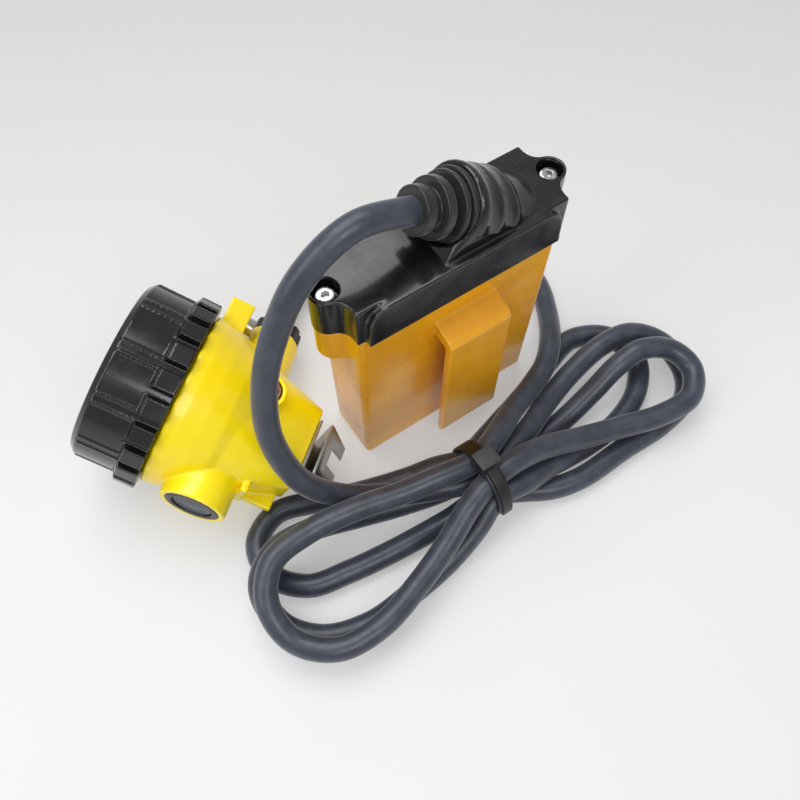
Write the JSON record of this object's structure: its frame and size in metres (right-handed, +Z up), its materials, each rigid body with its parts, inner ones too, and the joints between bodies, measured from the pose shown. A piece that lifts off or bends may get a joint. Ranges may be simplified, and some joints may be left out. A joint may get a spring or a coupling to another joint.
{
  "type": "miner's cap lamp",
  "caption": "Corded cap lamp: a tapered belt battery pack with a booted cord, and a round headpiece with a ribbed bezel ring, push switch, charging key and helmet clip.",
  "frame": {"origin": "centre of the battery pack's flat base, on the surface that the lamp rests on", "axes": "+Z up, +X along the pack's length towards the end away from the headpiece, +Y from the belt clip to the pack's back"},
  "size_m": [0.2681, 0.1804, 0.1504],
  "materials": {
    "case_yellow": "glossy amber-yellow moulded plastic",
    "head_yellow": "glossy bright yellow moulded plastic",
    "cover_black": "glossy black moulded plastic",
    "bezel_black": "glossy black moulded plastic with fine handling marks",
    "button_black": "satin black",
    "ring_black": "satin black",
    "cord_rubber": "charcoal rubber sheath with a soft sheen",
    "boot_rubber": "black moulded rubber",
    "gland_black": "black moulded plastic",
    "tie_black": "black nylon",
    "seal_rubber": "matt",
    "stainless": "bright stainless steel",
    "brass": "bright brass",
    "lens_clear": "clear toughened lens",
    "reflector_bright": "vacuum-metallised",
    "spreader_aluminium": "turned",
    "led_white": "white solder mask",
    "board_green": "green solder mask",
    "switch_black": "satin",
    "cell_sleeve": "blue shrink sleeve",
    "nickel": "nickel strip",
    "foam": "closed-cell foam"
  },
  "bodies": {
    "lamp": {"case_body": "case_yellow", "pack_cover": "cover_black", "cover_gasket": "seal_rubber", "cover_screws": "stainless", "threaded_inserts": "brass", "battery_cells": "cell_sleeve", "cell_strips": "nickel", "cell_pads": "foam", "protection_board": "board_green", "cable_boot": "boot_rubber", "cord": "cord_rubber", "cable_tie": "tie_black", "head_shell": "head_yellow", "lens": "lens_clear", "lens_seal": "seal_rubber", "reflector": "reflector_bright", "led_board": "led_white", "heat_spreader": "spreader_aluminium", "spreader_screws": "stainless", "driver_board": "board_green", "button_ring": "ring_black", "micro_switch": "switch_black", "contact_pin": "stainless", "key_socket": "brass", "gland_nut": "gland_black", "gland_seal": "seal_rubber", "helmet_clip": "stainless", "clip_screws": "stainless"},
    "bezel": {"bezel_ring": "bezel_black"},
    "button": {"switch_button": "button_black", "button_spring": "stainless"}
  },
  "joints": [
    {"name": "bezel_turn", "type": "hinge", "parent": "lamp", "child": "bezel", "pos_m": [-0.1215, 0.0565, 0.04912], "axis": [-0.5708, 0.7306, 0.3746], "range_deg": [0, 120]},
    {"name": "switch_press", "type": "slide", "parent": "lamp", "child": "button", "axis": [0.788, 0.6157, 0], "range_m": [0, 0.0015], "stiffness_N_per_m": 600, "springref_m": -0.003}
  ]
}
